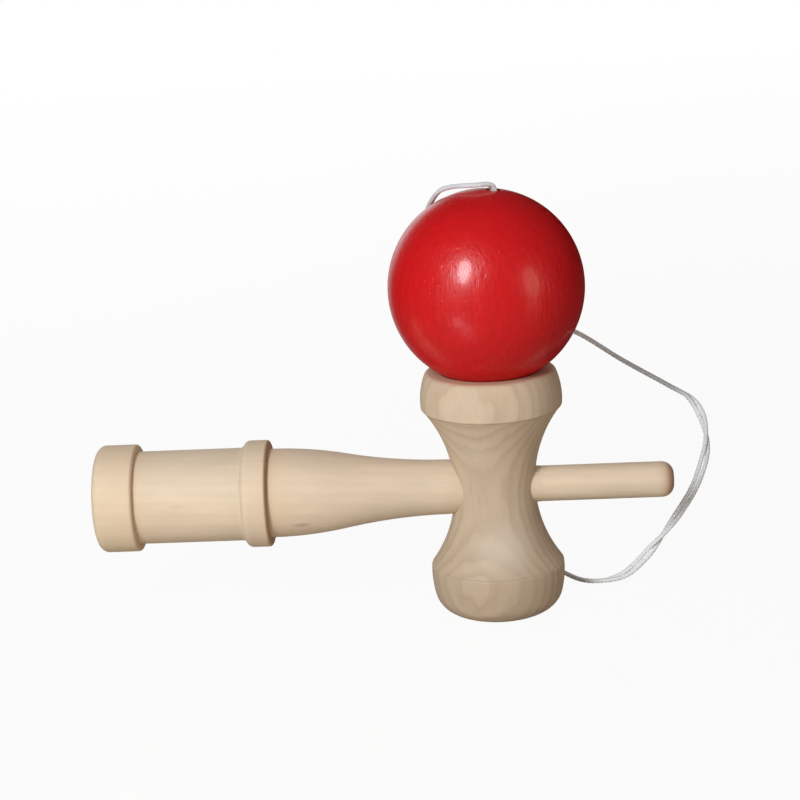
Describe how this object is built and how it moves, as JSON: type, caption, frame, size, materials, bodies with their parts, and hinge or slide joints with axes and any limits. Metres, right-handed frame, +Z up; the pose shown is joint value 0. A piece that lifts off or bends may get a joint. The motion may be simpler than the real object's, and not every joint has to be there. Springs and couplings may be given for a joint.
{
  "type": "cup and ball toy",
  "caption": "Turned wooden cup and ball toy: a handle with a spike and base cup through a double-cup crosspiece, and a red ball with a spike hole, tied on by a doubled string.",
  "frame": {"origin": "where the handle's axis crosses the crosspiece's axis, at the waist that the fingers hold", "axes": "+X along the handle from the base cup to the spike, +Z up the crosspiece from the small cup to the large cup, +Y to the back, where the string leaves the waist"},
  "size_m": [0.1944, 0.0768, 0.1364],
  "materials": {
    "handle_wood": "bare fine-grained hardwood, pale pinkish beige, satin, darker at the spike's tip",
    "crosspiece_wood": "bare hardwood, greyer beige with oval growth-ring figure, satin",
    "red_lacquer": "deep red gloss lacquer over turned wood",
    "bead_wood": "bare wood",
    "string": "white cotton, two strands loosely twisted together"
  },
  "bodies": {
    "handle": {"handle": "handle_wood", "string_tail": "string", "tail_knot": "string"},
    "crosspiece": {"crosspiece": "crosspiece_wood", "string_loop": "string"},
    "string_end": {"bead": "bead_wood", "bead_knot": "string", "string_over_ball": "string"},
    "ball": {"ball": "red_lacquer"}
  },
  "joints": [
    {"name": "crosspiece_pull", "type": "slide", "parent": "handle", "child": "crosspiece", "axis": [1, 0, 0], "range_m": [0, 0.075]},
    {"name": "ball_lift", "type": "slide", "parent": "crosspiece", "child": "string_end", "axis": [0, 0, 1], "range_m": [0, 0.2]},
    {"name": "ball_spin", "type": "hinge", "parent": "string_end", "child": "ball", "pos_m": [0, 0, 0.06316], "axis": [0.1219, 0, 0.9925], "continuous": true}
  ]
}
